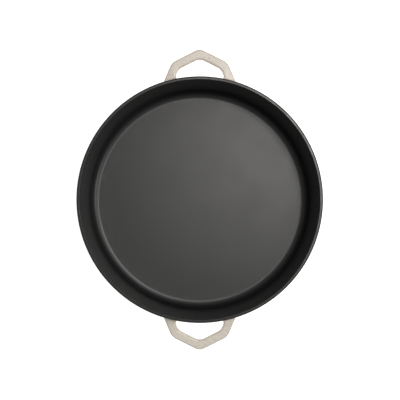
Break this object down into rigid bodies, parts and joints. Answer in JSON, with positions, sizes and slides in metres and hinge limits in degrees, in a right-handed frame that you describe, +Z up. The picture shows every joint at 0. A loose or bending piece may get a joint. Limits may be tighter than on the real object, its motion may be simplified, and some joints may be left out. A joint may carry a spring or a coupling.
{
  "type": "dutch oven pot",
  "caption": "Round enamelled cast-iron dutch oven without its lid: straight-sided pot with hexagonal loop handles on opposite sides.",
  "frame": {"origin": "centre of the foot ring, on the surface that the pot stands on", "axes": "+Z up out of the mouth, +Y towards the rear handle, +X to the right of someone who stands in front of the other handle"},
  "size_m": [0.2998, 0.3688, 0.12],
  "materials": {
    "grey_iron": "matte",
    "black_enamel": "satin",
    "rim_enamel": "satin",
    "cream_enamel": "gloss",
    "ground_enamel": "matte"
  },
  "bodies": {
    "root": {"pot_casting": "grey_iron", "rear_handle_casting": "grey_iron", "front_handle_casting": "grey_iron", "interior_enamel": "black_enamel", "rim_enamel": "rim_enamel", "exterior_enamel": "cream_enamel", "rear_handle_enamel": "cream_enamel", "front_handle_enamel": "cream_enamel", "foot_ring_enamel": "ground_enamel", "underside_enamel": "cream_enamel"}
  },
  "joints": []
}
